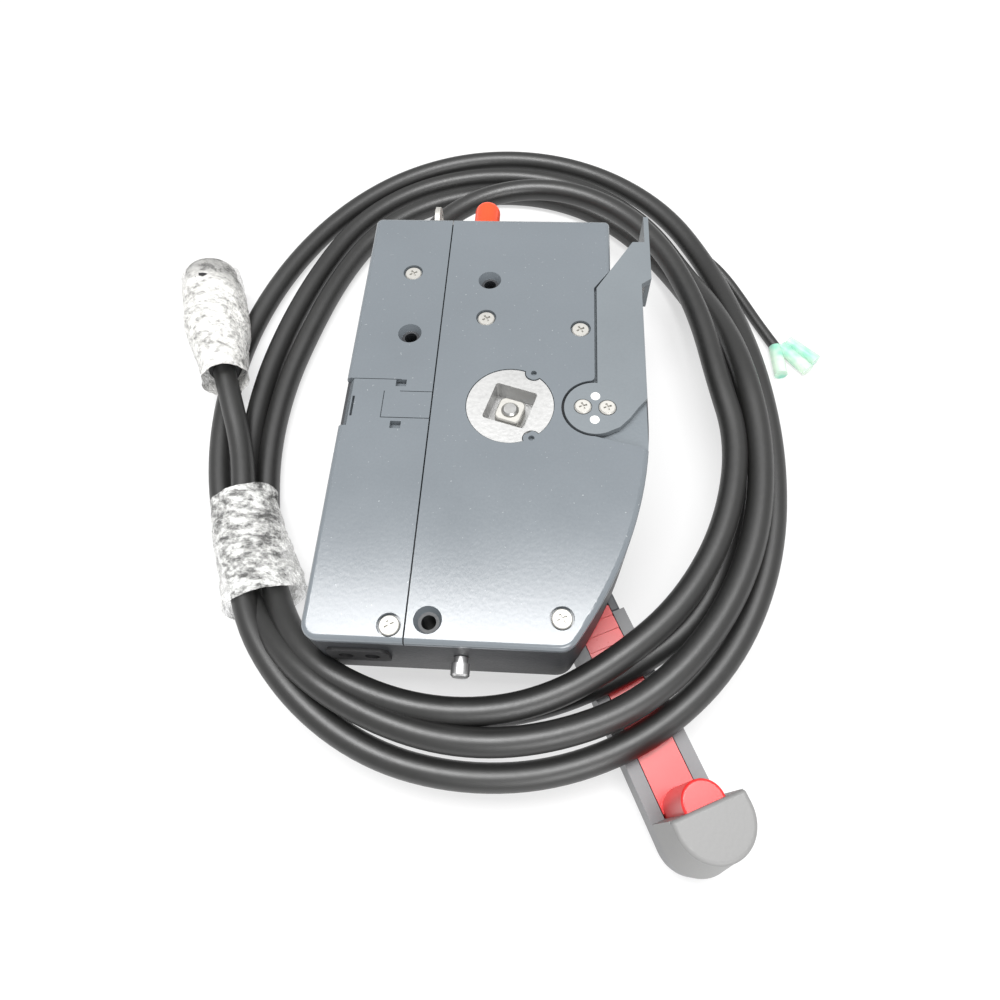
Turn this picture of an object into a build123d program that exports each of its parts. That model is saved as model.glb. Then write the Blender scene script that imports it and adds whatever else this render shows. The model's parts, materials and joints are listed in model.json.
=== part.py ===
"""Side-mount boat throttle control: box, lever, neutral-throttle lever and coiled harness.

Frame: millimetres, +Z up. The origin lies on the lever's hub axis, on the surface that the
control rests on with its hub cap down. The back covers, which face the boat's side panel when
the control is fitted, are uppermost. +Y runs from the lever's end towards the key switch.
"""

from build123d import *
from math import acos, atan2, cos, degrees, pi, radians, sin, sqrt, tan
import os

os.makedirs("parts", exist_ok=True)

# ---------------------------------------------------------------- driving dimensions
# levels along Z
front_z = 22.0          # outer face of the housing's front wall
rim_z = 68.0            # seat of the covers on the housing
cover_t = 4.0           # thickness of the back covers
wall = 3.2              # housing wall
cover_top_z = rim_z + cover_t
inner_z = front_z + wall

# outline of the box, seen from the back
left_x = -85.0
right_x = 69.0
bottom_y = -122.5
top_y = 130.5
notch_x = 51.5          # right wall beside the neutral-throttle lever's tab
shoulder_y = 86.0
side_arc_r = 206.0      # curved lower right side
side_arc_y = -4.0       # where the curve leaves the straight side
seam_x = -39.4          # seam between the main cover and the side covers
seam_gap = 0.7

# fasteners of the back
mount_holes = [(-15.2, 82.7), (-55.5, 44.1), (-29.8, -112.0)]
mount_hole_r = 3.3
cover_hole_r = mount_hole_r + 1.4     # the covers clear the bolts that the housing's bosses guide
mount_recess_r = 6.25
mount_boss_r = 7.2
front_recess_r = 7.0
front_recess_depth = 6.0
main_screws = [(-15.5, 56.0), (35.0, 49.8), (27.7, -108.7)]
upper_screw = (-58.6, 87.6)
cable_screw = (-46.3, -114.9)
screw_recess_r = 5.4
screw_recess_depth = 2.5
screw_head_r = 4.6
screw_head_t = 1.9
screw_shank_r = 1.9
screw_boss_r = 4.6
screw_length = 16.0
fit = 0.3               # clearance between separate pieces
running = 0.05          # radial clearance of shafts in their bearings

# hub, shaft and retainer on the hub axis
shaft_r = 8.0
shaft_bottom_z = 8.0
bushing_r = 12.0
bushing_top_z = 30.0
retainer_r = 21.9
retainer_step_t = 2.0
retainer_collar_r = 18.6
retainer_top_z = cover_top_z - 0.4
retainer_bottom_z = 57.0
socket_side = 22.0
socket_depth = 11.5
socket_turn = -17.0
lobe_places = [(11.3, 19.9), (11.4, -19.1)]
lobe_r = 4.1
lobe_hole_r = 1.5
drum_r = 12.0
drum_z = 49.6
drum_t = 5.6
cam_r = 16.0
cam_z = 31.0
cam_t = 4.0

# gears
module = 2.0
pressure = 25.0
drive_teeth = 14
driven_teeth = 28
backlash = 0.4
drive_z = 37.4
drive_t = 11.2
throttle_gear_z = 38.0
shift_gear_z = 43.4
driven_t = 4.4
gear_centre = module * (drive_teeth + driven_teeth) / 2
post_r = 5.0
arm_reach = 32.0        # from a driven gear's axis to its cable pin
cable_pin_r = 3.0

# lever
lever_angle = 24.6      # from -Y towards +X, lever at neutral
lever_bottom_z = 2.0
lever_top_z = 20.0
arm_offset = 3.55       # the arm's centre line beside the hub axis
arm_half_w = 16.2
slide_half_w = 9.5
slide_gap = 0.4
slide_floor_z = 12.0
cover_start = 103.0     # where the arm's plastic cover begins
arm_end_centre = 208.7  # centre of the arm's round end
grip_lean = 6.0         # the grip's top stands this much nearer the hub
grip_straight = 5.4     # straight stretch of the grip's sides
grip_top_centre = arm_end_centre - grip_lean
grip_flat = grip_top_centre - grip_straight
grip_r = 16.3
grip_joint_z = 60.4
grip_top_z = 64.0
trigger_reach = 10.0    # the trigger's nose stands this far before the grip
trigger_r = 9.1
trigger_travel = 7.0
trigger_inset = 1.3     # the trigger's back lies this far inside the grip
trigger_nose = grip_flat - trigger_reach
trigger_back = grip_flat + trigger_inset
rocker_length = 20.0
rocker_w = 11.6
rocker_t = 2.8
rocker_bottom_z = 1.6
rocker_gap = 0.7        # beside the trim rocker, and 0.3 more at its ends
rocker_inset = 2.7      # from the arm's end centre to the rocker's axis
rocker_axis_r = 1.3
rocker_reach = arm_end_centre - rocker_inset
hub_r = 27.0
hub_cap_r = 24.0
hub_cap_t = 3.0

# neutral-throttle lever
flap_pivot = (42.2, -0.4)
flap_r = 15.2
flap_gap = 1.4
flap_t = 3.6
flap_left_x = flap_pivot[0] + flap_gap
flap_right_x = right_x - 0.8
flap_shoulder_y = 78.4  # where the sloping edge begins
flap_slope_end = (64.2, 113.6)
flap_tab_x = 73.7       # outer face of the bent tab
flap_tab_bend = 2.8     # thickness of the bent tab
flap_tab_low_y, flap_tab_high_y = 86.0, 133.7
flap_neck_y = 82.0      # where the right edge runs out to the tab
flap_lower_edge = [(68.2, 6.0), (63.9, 0.8), (59.3, -5.9), (54.3, -11.3), (47.4, -14.7)]
pocket_slope_rise = 13.8
flap_tab_depth = 22.0
pocket_low_y = -29.0    # where the pocket's lower edge leaves the box
beyond_x = right_x + 21.0
flap_shaft_r = 5.0
flap_flange_r = 13.6
flap_flange_t = 3.0

# switches on the top wall, friction adjuster on the bottom wall
key_x, key_z = -52.0, 52.0
key_barrel_r = 10.4
key_barrel_length = 32.0
stop_x, stop_z = -21.5, 56.0
stop_button_r = 7.65
stop_travel = 3.0
knob_x, knob_z = -16.0, 52.4
rod_r = 2.5
knob_r = 4.4

# harness
cord_r = 6.6
boot_x, boot_z = -72.5, 36.0
boot_turn = 25.0        # the boot leans from +Y towards +X
boot_length = 20.4
trim_lead_r = 3.25
coil_centre = (-15.5, 54.0)
coil_half_x = 164.0     # centre line of the outermost turn
coil_half_y = 217.8
coil_bulge = 11.0       # the turns stand further out at the lower right
raised_bottom_z = 21.5  # the turns lie over the lever's arm here
raised_top_z = 45.0
low_top_z = 19.5
raised_from, raised_to = -43.0, 113.0   # degrees from -Y towards +X
ramp_length = 75.0


# ---------------------------------------------------------------- shared profiles
def corner(sketch, point, radius):
    """Round the corner of a sketch that lies nearest to a point."""
    fillet(sketch.vertices().sort_by_distance(Vector(*point))[0], radius)


def box_outline(inset):
    """Outline of the box, drawn in by inset on every side."""
    arc_centre = (right_x - side_arc_r, side_arc_y)
    low_angle = -degrees(acos(sqrt(side_arc_r**2 - (bottom_y - side_arc_y) ** 2) / side_arc_r))
    low_x = arc_centre[0] + side_arc_r * cos(radians(low_angle))
    with BuildSketch() as sketch:
        with BuildLine():
            Polyline((right_x, side_arc_y), (right_x, shoulder_y), (notch_x, shoulder_y),
                     (notch_x, top_y), (left_x, top_y), (left_x, bottom_y), (low_x, bottom_y))
            CenterArc(arc_centre, side_arc_r, low_angle, -low_angle)
        make_face()
        corner(sketch, (left_x, bottom_y), 8)
        corner(sketch, (left_x, top_y), 4)
        corner(sketch, (notch_x, top_y), 3)
        corner(sketch, (notch_x, shoulder_y), 3)
        corner(sketch, (right_x, shoulder_y), 4)
        corner(sketch, (low_x, bottom_y), 9)
        if inset:
            offset(amount=-inset)
    return sketch.sketch


def pocket_outline(grow):
    """Opening in the covers for the neutral-throttle lever, drawn out by grow."""
    px, py = flap_pivot
    ring_r = flap_r + flap_gap
    with BuildSketch() as sketch:
        with BuildLine():
            Polyline((px, py - ring_r), (px, flap_shoulder_y), (notch_x, flap_shoulder_y + pocket_slope_rise),
                     (beyond_x, flap_shoulder_y + pocket_slope_rise), (beyond_x, pocket_low_y), close=True)
        make_face()
        with Locations(flap_pivot):
            Circle(ring_r)
        corner(sketch, (px, py + ring_r), 2.5)
        if grow:
            offset(amount=grow)
    return sketch.sketch


full_outline = box_outline(0)
inner_outline = box_outline(wall)
pocket = pocket_outline(0)
deck_outline = pocket_outline(4.0)


def involute_tooth(teeth, centre_angle):
    """Corner points of one tooth, from root to root, about a tooth centred at centre_angle."""
    pitch_r = module * teeth / 2
    base_r = pitch_r * cos(radians(pressure))
    root_r = pitch_r - 1.15 * module
    tip_r = pitch_r + 0.8 * module
    half_pitch = (pi * module / 2 - backlash) / (2 * pitch_r)

    def half_angle(radius):
        turn = acos(min(1.0, base_r / radius))
        pitch_turn = radians(pressure)
        return half_pitch + (tan(pitch_turn) - pitch_turn) - (tan(turn) - turn)

    start_r = max(root_r, base_r)
    radii = [start_r + (tip_r - start_r) * step / 3 for step in range(4)]
    flank = [(root_r - 0.6, half_angle(start_r))] + [(r, half_angle(r)) for r in radii]
    centre = radians(centre_angle)
    side = [(r * cos(centre - a), r * sin(centre - a)) for r, a in flank]
    back = [(r * cos(centre + a), r * sin(centre + a)) for r, a in reversed(flank)]
    return side + back


def gear_teeth(teeth, angles):
    """Add teeth at the given angles to the current sketch, about its own origin."""
    for angle in angles:
        Polygon(*involute_tooth(teeth, angle), align=None)


def root_radius(teeth):
    """Radius of a gear's body below its teeth."""
    return module * teeth / 2 - 1.15 * module


def along_arm(reach, across):
    """Point of the plan at a distance along the lever's arm and across it."""
    turn = radians(lever_angle)
    return (reach * sin(turn) + across * cos(turn), -reach * cos(turn) + across * sin(turn))


def arm_plane(z):
    """Plane at height z with x along the arm, outwards, and y across it."""
    turn = radians(lever_angle)
    return Plane(origin=(0, 0, z), x_dir=(sin(turn), -cos(turn), 0), z_dir=(0, 0, 1))


def save(part, name):
    """Label a finished part and write it."""
    part.label = name
    export_step(part, f"parts/{name}.step")


# ---------------------------------------------------------------- box
all_screws = main_screws + [upper_screw, cable_screw]
shift_axis = (-gear_centre, 0.0)
throttle_axis = (0.0, -gear_centre)

with BuildPart() as front_housing:
    with BuildSketch(Plane.XY.offset(front_z)):
        add(full_outline)
    extrude(amount=rim_z - front_z)
    fillet(front_housing.edges().group_by(Axis.Z)[0], 4.5)
    chamfer(front_housing.faces().sort_by(Axis.Z)[-1].edges(), 0.5)
    # border groove and raised ring round the hub on the front wall
    with BuildSketch(Plane.XY.offset(front_z)):
        add(box_outline(10.0))
        add(box_outline(11.4), mode=Mode.SUBTRACT)
    extrude(amount=0.8, mode=Mode.SUBTRACT)
    with BuildSketch(Plane.XY.offset(front_z)):
        Circle(34.0)
        Circle(30.0, mode=Mode.SUBTRACT)
    extrude(amount=-0.8)
    with BuildSketch(Plane.XY.offset(inner_z)):
        add(inner_outline)
    extrude(amount=rim_z - inner_z, mode=Mode.SUBTRACT)
    with BuildSketch(Plane.XY.offset(inner_z)):
        with Locations(*mount_holes):
            Circle(mount_boss_r)
        with Locations(*all_screws):
            Circle(screw_boss_r)
    extrude(amount=rim_z - inner_z)
    # ribs below the seam, which carry the covers' edges
    with BuildSketch(Plane.XY.offset(inner_z)):
        with Locations((seam_x, 70.0), (seam_x, -83.0)):
            Rectangle(4.0, 46.0)
    extrude(amount=rim_z - inner_z)
    # bearing boss of the main shaft, and bosses of the gear posts
    with BuildSketch(Plane.XY.offset(inner_z)):
        Circle(bushing_r + 4)
    extrude(amount=bushing_top_z - 2 - inner_z)
    with BuildSketch(Plane.XY.offset(inner_z)):
        with Locations(shift_axis, throttle_axis):
            Circle(post_r + 3)
    extrude(amount=throttle_gear_z - fit - inner_z)
    # deck below the neutral-throttle lever, its edge wall and its bearing boss
    with BuildSketch(Plane.XY.offset(rim_z - 3.0)):
        add(deck_outline)
        add(full_outline, mode=Mode.INTERSECT)
    extrude(amount=3.0)
    with BuildSketch(Plane.XY.offset(rim_z - 9.0)):
        with Locations(flap_pivot):
            Circle(flap_flange_r + 2.4)
    extrude(amount=9.0)
    with BuildSketch(Plane.XY.offset(inner_z)):
        with Locations(flap_pivot):
            Circle(flap_shaft_r + 3)
    extrude(amount=6.0)
    # openings along Z
    with BuildSketch(Plane.XY.offset(front_z)):
        Circle(bushing_r)
    extrude(amount=bushing_top_z - front_z, mode=Mode.SUBTRACT)
    with BuildSketch(Plane.XY.offset(front_z)):
        with Locations(*mount_holes):
            Circle(mount_hole_r)
    extrude(amount=rim_z - front_z, mode=Mode.SUBTRACT)
    with BuildSketch(Plane.XY.offset(front_z)):
        with Locations(*mount_holes):
            Circle(front_recess_r - 1.2)
    extrude(amount=front_recess_depth, mode=Mode.SUBTRACT)
    with BuildSketch(Plane.XY.offset(rim_z)):
        with Locations(*all_screws):
            Circle(screw_shank_r + 0.15)
    extrude(amount=-screw_length, mode=Mode.SUBTRACT)
    with BuildSketch(Plane.XY.offset(shift_gear_z)):
        with Locations(shift_axis, throttle_axis):
            Circle(post_r + running)
    extrude(amount=inner_z + 2 - shift_gear_z, mode=Mode.SUBTRACT)
    with BuildSketch(Plane.XY.offset(rim_z)):
        with Locations(flap_pivot):
            Circle(flap_flange_r + fit)
    extrude(amount=-flap_flange_t, mode=Mode.SUBTRACT)
    with BuildSketch(Plane.XY.offset(rim_z)):
        with Locations(flap_pivot):
            Circle(flap_shaft_r + running)
    extrude(amount=inner_z + 1 - rim_z, mode=Mode.SUBTRACT)
    # openings in the top wall: key switch, stop switch, harness boot
    top_plane = Plane(origin=(0, top_y + 1, 0), x_dir=(-1, 0, 0), z_dir=(0, 1, 0))
    with BuildSketch(top_plane):
        with Locations((-key_x, key_z)):
            Circle(key_barrel_r - 1.4)
        with Locations((-stop_x, stop_z)):
            Circle(stop_button_r - 0.2)
        with Locations((-boot_x, boot_z)):
            Circle(cord_r + 1.6)
    extrude(amount=-wall - 2, mode=Mode.SUBTRACT)
    # openings in the bottom wall: friction screw, cable grommet
    bottom_plane = Plane(origin=(0, bottom_y - 1, 0), x_dir=(1, 0, 0), z_dir=(0, -1, 0))
    with BuildSketch(bottom_plane):
        with Locations((knob_x, knob_z)):
            Circle(rod_r + running)
        with Locations((-62.0, 52.0)):
            RectangleRounded(25.0, 13.0, 3.0)
    extrude(amount=-wall - 2, mode=Mode.SUBTRACT)
save(front_housing.part, "front_housing")

with BuildPart() as back_cover:
    with BuildSketch(Plane.XY.offset(rim_z)):
        add(full_outline)
    extrude(amount=cover_t)
    fillet(back_cover.faces().sort_by(Axis.Z)[-1].edges(), 2.6)
    with BuildSketch(Plane.XY.offset(rim_z)):
        with Locations((seam_x + seam_gap / 2, 0)):
            Rectangle(2 * (right_x - left_x), 2 * (top_y - bottom_y), align=(Align.MAX, Align.CENTER))
    extrude(amount=cover_t, mode=Mode.SUBTRACT)
    with BuildSketch(Plane.XY.offset(rim_z)):
        add(pocket)
    extrude(amount=cover_t, mode=Mode.SUBTRACT)
    # stepped opening of the hub retainer, with the two lobes that key it
    with BuildSketch(Plane.XY.offset(cover_top_z)):
        Circle(retainer_r + 0.35)
        with Locations(*lobe_places):
            Circle(lobe_r, mode=Mode.SUBTRACT)
    extrude(amount=-retainer_step_t - 0.5, mode=Mode.SUBTRACT)
    with BuildSketch(Plane.XY.offset(rim_z)):
        Circle(retainer_collar_r + fit)
    extrude(amount=cover_t, mode=Mode.SUBTRACT)
    with Locations(*[(x, y, cover_top_z) for x, y in lobe_places]):
        Hole(lobe_hole_r, depth=2.4)
    with Locations(*[(x, y, cover_top_z) for x, y in (mount_holes[0], mount_holes[2])]):
        Cone(cover_hole_r, mount_recess_r, cover_t, align=(Align.CENTER, Align.CENTER, Align.MAX), mode=Mode.SUBTRACT)
    with Locations(*[(x, y, cover_top_z) for x, y in main_screws]):
        CounterBoreHole(screw_shank_r + 0.2, screw_recess_r, screw_recess_depth, depth=cover_t)
save(back_cover.part, "back_cover")

cover_step_x = -56.2
upper_edge_y = 13.9
lower_edge_y = 6.6
cover_joint = 0.4


def side_region(upper):
    """Plan of the upper or the lower side cover, left of the seam."""
    near_x = seam_x - seam_gap / 2
    far_y = 150.0 if upper else -150.0
    joint = cover_joint / 2 if upper else -cover_joint / 2
    with BuildSketch() as sketch:
        with BuildLine():
            Polyline((-100, far_y), (-100, upper_edge_y + joint), (cover_step_x, upper_edge_y + joint),
                     (cover_step_x, lower_edge_y + joint), (near_x, lower_edge_y + joint),
                     (near_x, far_y), close=True)
        make_face()
    return sketch.sketch


upper_region = side_region(True)
lower_region = side_region(False)

with BuildPart() as upper_side_cover:
    with BuildSketch(Plane.XY.offset(rim_z)):
        add(full_outline)
    extrude(amount=cover_t)
    fillet(upper_side_cover.faces().sort_by(Axis.Z)[-1].edges(), 2.6)
    with BuildSketch(Plane.XY.offset(rim_z)):
        add(upper_region)
    extrude(amount=cover_t, mode=Mode.INTERSECT)
    with Locations((*mount_holes[1], cover_top_z)):
        Cone(cover_hole_r, mount_recess_r, cover_t, align=(Align.CENTER, Align.CENTER, Align.MAX), mode=Mode.SUBTRACT)
    with Locations((*upper_screw, cover_top_z)):
        CounterBoreHole(screw_shank_r + 0.2, screw_recess_r, screw_recess_depth, depth=cover_t)
    # release slot at the joint with the cable cover
    with BuildSketch(Plane.XY.offset(cover_top_z)):
        with Locations((cover_step_x, 11.7)):
            Rectangle(5.4, 4.2)
    extrude(amount=-3.4, mode=Mode.SUBTRACT)
save(upper_side_cover.part, "upper_side_cover")

with BuildPart() as cable_cover:
    with BuildSketch(Plane.XY.offset(rim_z)):
        add(full_outline)
    extrude(amount=cover_t)
    fillet(cable_cover.faces().sort_by(Axis.Z)[-1].edges(), 2.6)
    with BuildSketch(Plane.XY.offset(rim_z)):
        add(lower_region)
    extrude(amount=cover_t, mode=Mode.INTERSECT)
    with Locations((*cable_screw, cover_top_z)):
        CounterBoreHole(screw_shank_r + 0.2, screw_recess_r, screw_recess_depth, depth=cover_t)
    # release slots and the groove round the snap tongue
    with BuildSketch(Plane.XY.offset(cover_top_z)):
        with Locations((cover_step_x, 11.7), (cover_step_x, -13.6)):
            Rectangle(5.4, 4.2)
        with Locations((-79.4, -3.0)):
            Rectangle(1.2, 12.0)
    extrude(amount=-3.4, mode=Mode.SUBTRACT)
    with BuildSketch(Plane.XY.offset(cover_top_z)):
        with Locations((-64.2, -1.4)):
            Rectangle(0.45, 16.0)
        with Locations((-52.0, -9.4)):
            Rectangle(24.6, 0.45)
    extrude(amount=-1.2, mode=Mode.SUBTRACT)
    # finger notch in the left edge
    notch_plane = Plane(origin=(left_x, -0.5, 0), x_dir=(1, 0, 0), z_dir=(0, -1, 0))
    with BuildSketch(notch_plane):
        with BuildLine():
            Polyline((-1, rim_z - 1), (0.8, rim_z - 1), (5.0, cover_top_z + 1), (-1, cover_top_z + 1), close=True)
        make_face()
    extrude(amount=14.2, both=True, mode=Mode.SUBTRACT)
save(cable_cover.part, "cable_cover")

with BuildPart() as cover_screws:
    seat_z = cover_top_z - screw_recess_depth
    with BuildSketch(Plane.XY.offset(seat_z)):
        with Locations(*all_screws):
            Circle(screw_head_r)
    extrude(amount=screw_head_t)
    chamfer(cover_screws.faces().group_by(Axis.Z)[-1].edges(), 0.5)
    with BuildSketch(Plane.XY.offset(seat_z)):
        with Locations(*all_screws):
            Circle(screw_shank_r)
    extrude(amount=-screw_length + 3)
    with BuildSketch(Plane.XY.offset(seat_z + screw_head_t)):
        with Locations(*all_screws):
            Rectangle(4.6, 1.1, rotation=30)
            Rectangle(1.1, 4.6, rotation=30)
    extrude(amount=-1.2, mode=Mode.SUBTRACT)
save(cover_screws.part, "cover_screws")

with BuildPart() as hub_retainer:
    with BuildSketch(Plane.XY.offset(retainer_top_z)):
        Circle(retainer_r)
        with Locations(*lobe_places):
            Circle(lobe_r + 0.5, mode=Mode.SUBTRACT)
    extrude(amount=-retainer_step_t)
    with BuildSketch(Plane.XY.offset(retainer_bottom_z)):
        Circle(retainer_collar_r)
    extrude(amount=retainer_top_z - retainer_step_t - retainer_bottom_z)
    with BuildSketch(Plane.XY.offset(retainer_top_z)):
        RectangleRounded(socket_side, socket_side, 1.5, rotation=socket_turn)
    extrude(amount=-socket_depth, mode=Mode.SUBTRACT)
    with BuildSketch(Plane.XY.offset(retainer_bottom_z)):
        Circle(shaft_r + running)
    extrude(amount=retainer_top_z - retainer_bottom_z, mode=Mode.SUBTRACT)
save(hub_retainer.part, "hub_retainer")

with BuildPart() as shaft_bushing:
    with BuildSketch(Plane.XY.offset(front_z)):
        Circle(bushing_r)
    extrude(amount=bushing_top_z - 2 - front_z)
    with BuildSketch(Plane.XY.offset(bushing_top_z - 2)):
        Circle(bushing_r + 2.5)
    extrude(amount=1.6)
    with BuildSketch(Plane.XY.offset(front_z)):
        Circle(shaft_r + running)
    extrude(amount=bushing_top_z - front_z, mode=Mode.SUBTRACT)
save(shaft_bushing.part, "shaft_bushing")

with BuildPart() as gear_posts:
    with BuildSketch(Plane.XY.offset(inner_z + 2)):
        with Locations(shift_axis, throttle_axis):
            Circle(post_r)
    extrude(amount=shift_gear_z + driven_t + 0.8 - inner_z - 2)
    with BuildSketch(Plane.XY.offset(shift_gear_z + driven_t + 0.8)):
        with Locations(shift_axis, throttle_axis):
            Circle(post_r + 2.5)
    extrude(amount=1.0)
save(gear_posts.part, "gear_posts")


# ---------------------------------------------------------------- lever
arm_low = arm_offset - arm_half_w
arm_high = arm_offset + arm_half_w
beam_half_w = 8.0
beam_z = 4.0
beam_t = 7.0
beam_end = rocker_reach - rocker_length / 2 - 3.0
trigger_centre = trigger_nose + trigger_r
channel_end = trigger_back + trigger_travel + 0.8
channel_start = 97.0

with BuildPart() as lever_arm:
    with BuildSketch(arm_plane(lever_bottom_z)):
        Circle(hub_r)
        with Locations((0, arm_offset)):
            Rectangle(cover_start, 2 * arm_half_w - 4, align=(Align.MIN, Align.CENTER))
    extrude(amount=lever_top_z - lever_bottom_z)
    fillet(lever_arm.faces().sort_by(Axis.Z)[-1].edges(), 1.2)
    with BuildSketch(arm_plane(beam_z)):
        with Locations((cover_start, arm_offset)):
            Rectangle(beam_end - cover_start, 2 * beam_half_w, align=(Align.MIN, Align.CENTER))
    extrude(amount=beam_t)
    with BuildSketch(arm_plane(slide_floor_z)):
        with Locations((channel_start, arm_offset)):
            Rectangle(20, 2 * (slide_half_w + slide_gap), align=(Align.MIN, Align.CENTER))
    extrude(amount=lever_top_z - slide_floor_z + 1, mode=Mode.SUBTRACT)
    with BuildSketch(Plane.XY.offset(lever_bottom_z)):
        Circle(hub_cap_r)
    extrude(amount=hub_cap_t - lever_bottom_z, mode=Mode.SUBTRACT)
    with BuildSketch(Plane.XY.offset(shaft_bottom_z)):
        Circle(shaft_r)
    extrude(amount=lever_top_z - shaft_bottom_z + 1, mode=Mode.SUBTRACT)
save(lever_arm.part, "lever_arm")

with BuildPart() as hub_cap:
    with BuildSketch():
        Circle(hub_cap_r)
    extrude(amount=hub_cap_t)
    chamfer(hub_cap.edges().group_by(Axis.Z)[0], 1.0)
save(hub_cap.part, "hub_cap")

with BuildPart() as arm_cover:
    with BuildSketch(arm_plane(lever_bottom_z)):
        with Locations((cover_start, arm_offset)):
            Rectangle(arm_end_centre - cover_start, 2 * arm_half_w, align=(Align.MIN, Align.CENTER))
        with Locations((arm_end_centre, arm_offset)):
            Circle(arm_half_w)
    extrude(amount=lever_top_z - lever_bottom_z)
    fillet(arm_cover.edges().group_by(Axis.Z)[0], 2.2)
    with BuildSketch(arm_plane(beam_z)):
        with Locations((cover_start, arm_offset)):
            Rectangle(beam_end - cover_start, 2 * beam_half_w, align=(Align.MIN, Align.CENTER))
    extrude(amount=beam_t, mode=Mode.SUBTRACT)
    with BuildSketch(arm_plane(slide_floor_z)):
        with Locations((cover_start, arm_offset)):
            Rectangle(channel_end - cover_start, 2 * (slide_half_w + slide_gap), align=(Align.MIN, Align.CENTER))
    extrude(amount=lever_top_z - slide_floor_z, mode=Mode.SUBTRACT)
    with BuildSketch(arm_plane(lever_bottom_z)):
        with Locations((rocker_reach, arm_offset)):
            Rectangle(rocker_length + 2 * rocker_gap + 0.6, rocker_w + 2 * rocker_gap)
    extrude(amount=rocker_t + 1.2, mode=Mode.SUBTRACT)
save(arm_cover.part, "arm_cover")


def grip_section(z, centre, radius, flat):
    """D-shaped outline of the grip at height z."""
    with BuildSketch(arm_plane(z)) as sketch:
        with BuildLine():
            Polyline((centre, arm_offset + radius), (flat, arm_offset + radius),
                     (flat, arm_offset - radius), (centre, arm_offset - radius))
            CenterArc((centre, arm_offset), radius, -90, 180)
        make_face()
    return sketch.sketch


with BuildPart() as grip_body:
    add(grip_section(lever_top_z, arm_end_centre, arm_half_w, grip_flat))
    add(grip_section(grip_joint_z, grip_top_centre, grip_r, grip_flat))
    loft()
    with BuildSketch(arm_plane(lever_top_z)):
        with Locations((grip_flat - 1, arm_offset)):
            Rectangle(channel_end - grip_flat + 1, 2 * (trigger_r + slide_gap), align=(Align.MIN, Align.CENTER))
    extrude(amount=grip_joint_z - lever_top_z, mode=Mode.SUBTRACT)
save(grip_body.part, "grip_body")

with BuildPart() as grip_cap:
    add(grip_section(grip_joint_z, grip_top_centre, grip_r, grip_flat))
    extrude(amount=grip_top_z - grip_joint_z, dir=(0, 0, 1))
    fillet(grip_cap.edges().filter_by(Axis.Z), 1.5)
    fillet(grip_cap.edges().group_by(Axis.Z)[-1], 1.8)
save(grip_cap.part, "grip_cap")

with BuildPart() as lock_slide:
    with BuildSketch(arm_plane(slide_floor_z)):
        with Locations((channel_start + 2, arm_offset)):
            Rectangle(trigger_centre - channel_start - 2, 2 * slide_half_w, align=(Align.MIN, Align.CENTER))
        with Locations((trigger_centre, arm_offset)):
            Rectangle(2.0, 3 * slide_half_w, mode=Mode.SUBTRACT)
            Circle(trigger_r, mode=Mode.SUBTRACT)
    extrude(amount=lever_top_z - slide_floor_z)
    # finger ridges across the slide
    with BuildSketch(arm_plane(lever_top_z)):
        with GridLocations(7.0, 1, 3, 1):
            with Locations((112, arm_offset)):
                Rectangle(1.6, 2 * slide_half_w)
    extrude(amount=-0.8, mode=Mode.SUBTRACT)
lock_slide_solid = lock_slide.part.solids().sort_by(SortBy.VOLUME)[-1]
save(Part() + lock_slide_solid, "lock_slide")

with BuildPart() as lock_trigger:
    with BuildSketch(arm_plane(slide_floor_z)):
        with Locations((trigger_centre, arm_offset)):
            Circle(trigger_r)
            Rectangle(trigger_back - trigger_centre, 2 * trigger_r, align=(Align.MIN, Align.CENTER))
        with Locations((trigger_back, arm_offset)):
            Rectangle(2 * trigger_r, 3 * trigger_r, align=(Align.MIN, Align.CENTER), mode=Mode.SUBTRACT)
    extrude(amount=grip_joint_z - 0.4 - slide_floor_z)
    fillet(lock_trigger.edges().group_by(Axis.Z)[-1].sort_by(Axis.Y)[-1], 1.2)
save(lock_trigger.part, "lock_trigger")

with BuildPart() as trim_rocker:
    with BuildSketch(arm_plane(rocker_bottom_z)):
        with Locations((rocker_reach, arm_offset)):
            RectangleRounded(rocker_length, rocker_w, 2.0)
    extrude(amount=rocker_t)
    with BuildSketch(arm_plane(rocker_bottom_z)):
        with Locations((rocker_reach - rocker_length / 4, arm_offset),
                       (rocker_reach + rocker_length / 4, arm_offset)):
            Rectangle(1.2, 7.0)
    extrude(amount=0.5, mode=Mode.SUBTRACT)
    # round back that the rocker tilts on, across the arm
    rocker_x, rocker_y = along_arm(rocker_reach, arm_offset)
    across_arm = (cos(radians(lever_angle)), sin(radians(lever_angle)), 0)
    with BuildSketch(Plane(origin=(rocker_x, rocker_y, rocker_bottom_z + rocker_t), z_dir=across_arm)):
        Circle(rocker_axis_r)
    extrude(amount=rocker_w / 2, both=True)
save(trim_rocker.part, "trim_rocker")

shaft_top_z = retainer_top_z - socket_depth + 0.5
thread_r = 4.0
nut_t = 6.8

with BuildPart() as main_shaft:
    with BuildSketch(Plane.XY.offset(shaft_bottom_z)):
        Circle(shaft_r)
    extrude(amount=shaft_top_z - shaft_bottom_z)
    with BuildSketch(Plane.XY.offset(shaft_top_z)):
        Circle(thread_r)
    extrude(amount=nut_t + 1.4)
    chamfer(main_shaft.edges().group_by(Axis.Z)[-1], 0.8)
save(main_shaft.part, "main_shaft")

with BuildPart() as shaft_nut:
    with BuildSketch(Plane.XY.offset(shaft_top_z)):
        RectangleRounded(13.6, 13.6, 3.4, rotation=socket_turn)
        Circle(thread_r, mode=Mode.SUBTRACT)
    extrude(amount=nut_t)
    chamfer(shaft_nut.faces().sort_by(Axis.Z)[-1].edges(), 0.6)
save(shaft_nut.part, "shaft_nut")

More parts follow.
